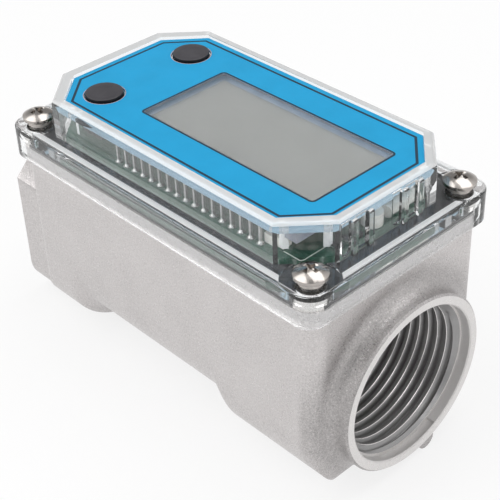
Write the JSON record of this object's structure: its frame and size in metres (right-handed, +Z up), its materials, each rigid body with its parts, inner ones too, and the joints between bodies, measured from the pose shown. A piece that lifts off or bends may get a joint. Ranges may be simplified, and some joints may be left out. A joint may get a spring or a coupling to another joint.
{
  "type": "turbine flow meter",
  "caption": "In-line turbine flow meter: cast body with threaded pipe ports, clear screwed cover, display behind a blue label, push buttons and a helical rotor inside.",
  "frame": {"origin": "centre of the bounding box at the level of the feet", "axes": "+X along the pipe from the inlet to the outlet port, +Z up through the display cover, +Y to the left of the flow"},
  "size_m": [0.1028, 0.0506, 0.0617],
  "materials": {
    "cast_metal": "satin",
    "clear_plastic": "clear polished",
    "black_rubber": "matte",
    "screw_metal": "polished nickel",
    "plain_steel": "plain",
    "label_blue": "printed film",
    "button_grey": "satin",
    "black_plastic": "moulded",
    "white_plastic": "moulded",
    "bush_ceramic": "fine",
    "board_green": "lacquered",
    "display_glass": "polished",
    "display_film": "satin film",
    "copper": "enamelled wire",
    "cell_jacket": "gloss"
  },
  "bodies": {
    "housing": {"body_casting": "cast_metal", "outlet_flow_straightener": "white_plastic", "inlet_flow_straightener": "white_plastic", "outlet_bearing": "bush_ceramic", "inlet_bearing": "bush_ceramic", "outlet_retaining_ring": "plain_steel", "inlet_retaining_ring": "plain_steel", "gasket": "black_rubber", "clear_cover": "clear_plastic", "screw_ferrules": "plain_steel", "screw_washers": "screw_metal", "cover_screws": "screw_metal", "label_plate": "label_blue", "calibrate_switch": "black_plastic", "display_switch": "black_plastic", "circuit_board": "board_green", "controller_chip": "black_plastic", "board_components": "plain_steel", "board_socket": "white_plastic", "socket_pins": "plain_steel", "lcd_glass": "display_glass", "lcd_film": "display_film", "lcd_spacers": "black_rubber", "lcd_pins": "plain_steel", "battery_tray": "black_plastic", "battery_cells": "cell_jacket", "battery_contacts": "plain_steel", "pickup_bobbin": "black_plastic", "pickup_winding": "copper", "pickup_core": "plain_steel", "coil_leads": "copper"},
    "rotor": {"turbine_rotor": "white_plastic", "rotor_shaft": "plain_steel", "rotor_magnets": "plain_steel"},
    "calibrate_key": {"calibrate_button": "button_grey", "calibrate_plunger": "black_plastic"},
    "display_key": {"display_button": "button_grey", "display_plunger": "black_plastic"}
  },
  "joints": [
    {"name": "rotor_spin", "type": "hinge", "parent": "housing", "child": "rotor", "pos_m": [0, 0, 0.0208], "axis": [1, 0, 0], "continuous": true},
    {"name": "calibrate_press", "type": "slide", "parent": "housing", "child": "calibrate_key", "axis": [0, 0, -1], "range_m": [0, 0.0005], "stiffness_N_per_m": 1500},
    {"name": "display_press", "type": "slide", "parent": "housing", "child": "display_key", "axis": [0, 0, -1], "range_m": [0, 0.0005], "stiffness_N_per_m": 1500}
  ]
}
